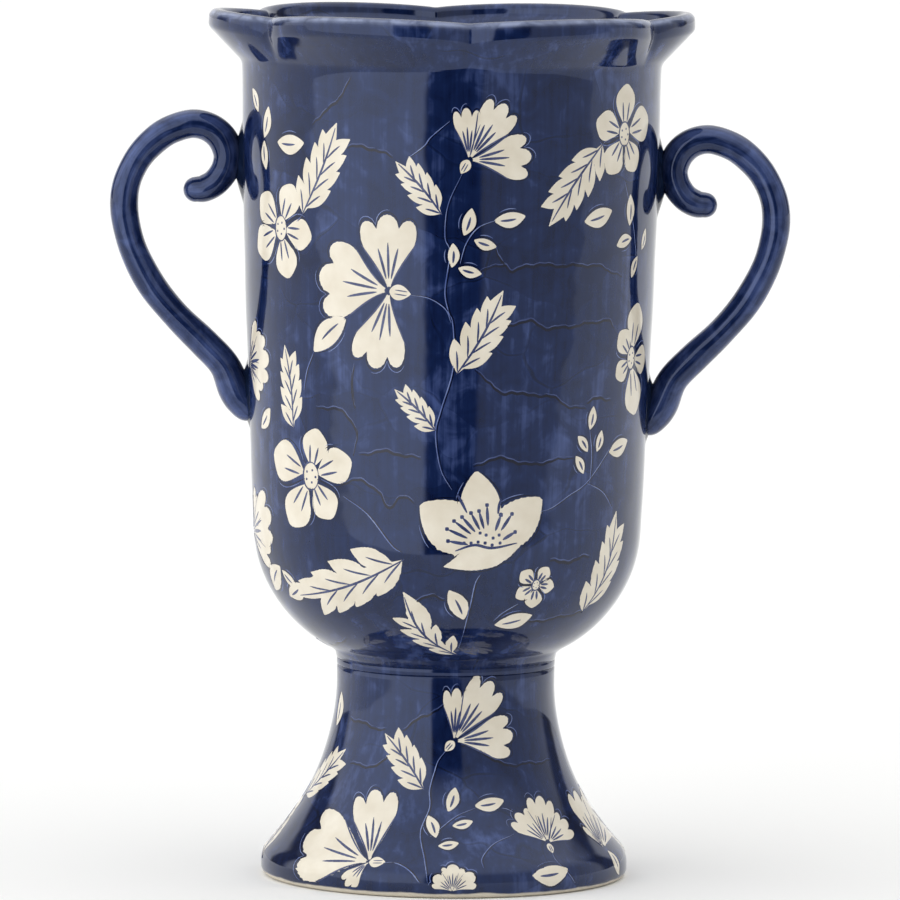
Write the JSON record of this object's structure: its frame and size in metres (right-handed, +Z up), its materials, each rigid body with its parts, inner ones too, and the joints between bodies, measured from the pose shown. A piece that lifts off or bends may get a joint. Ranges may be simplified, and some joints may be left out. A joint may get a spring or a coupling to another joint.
{
  "type": "two-handled footed vase",
  "caption": "Tall cobalt-glazed ceramic vase with a lobed flared rim, scroll side handles and a flared hollow foot, for holding flowers.",
  "frame": {"origin": "middle of the foot's ground ring, on the surface the vase stands on", "axes": "+Z up along the vase's axis, +X towards the right handle, -Y towards the pictured front"},
  "size_m": [0.2585, 0.1772, 0.33],
  "materials": {
    "body_glaze": "glossy cobalt glaze over brushed colour, cream reserved flowers",
    "foot_glaze": "glossy cobalt glaze, bare cream clay at the ground",
    "handle_glaze": "glossy cobalt glaze with brush streaks along the coil",
    "slip_joint": "slip under thick pooled glaze, nearly black"
  },
  "bodies": {
    "root": {"body": "body_glaze", "pedestal_foot": "foot_glaze", "waist_slip_ring": "slip_joint", "left_handle": "handle_glaze", "right_handle": "handle_glaze", "left_upper_slip_pad": "slip_joint", "left_lower_slip_pad": "slip_joint", "right_upper_slip_pad": "slip_joint", "right_lower_slip_pad": "slip_joint"}
  },
  "joints": []
}
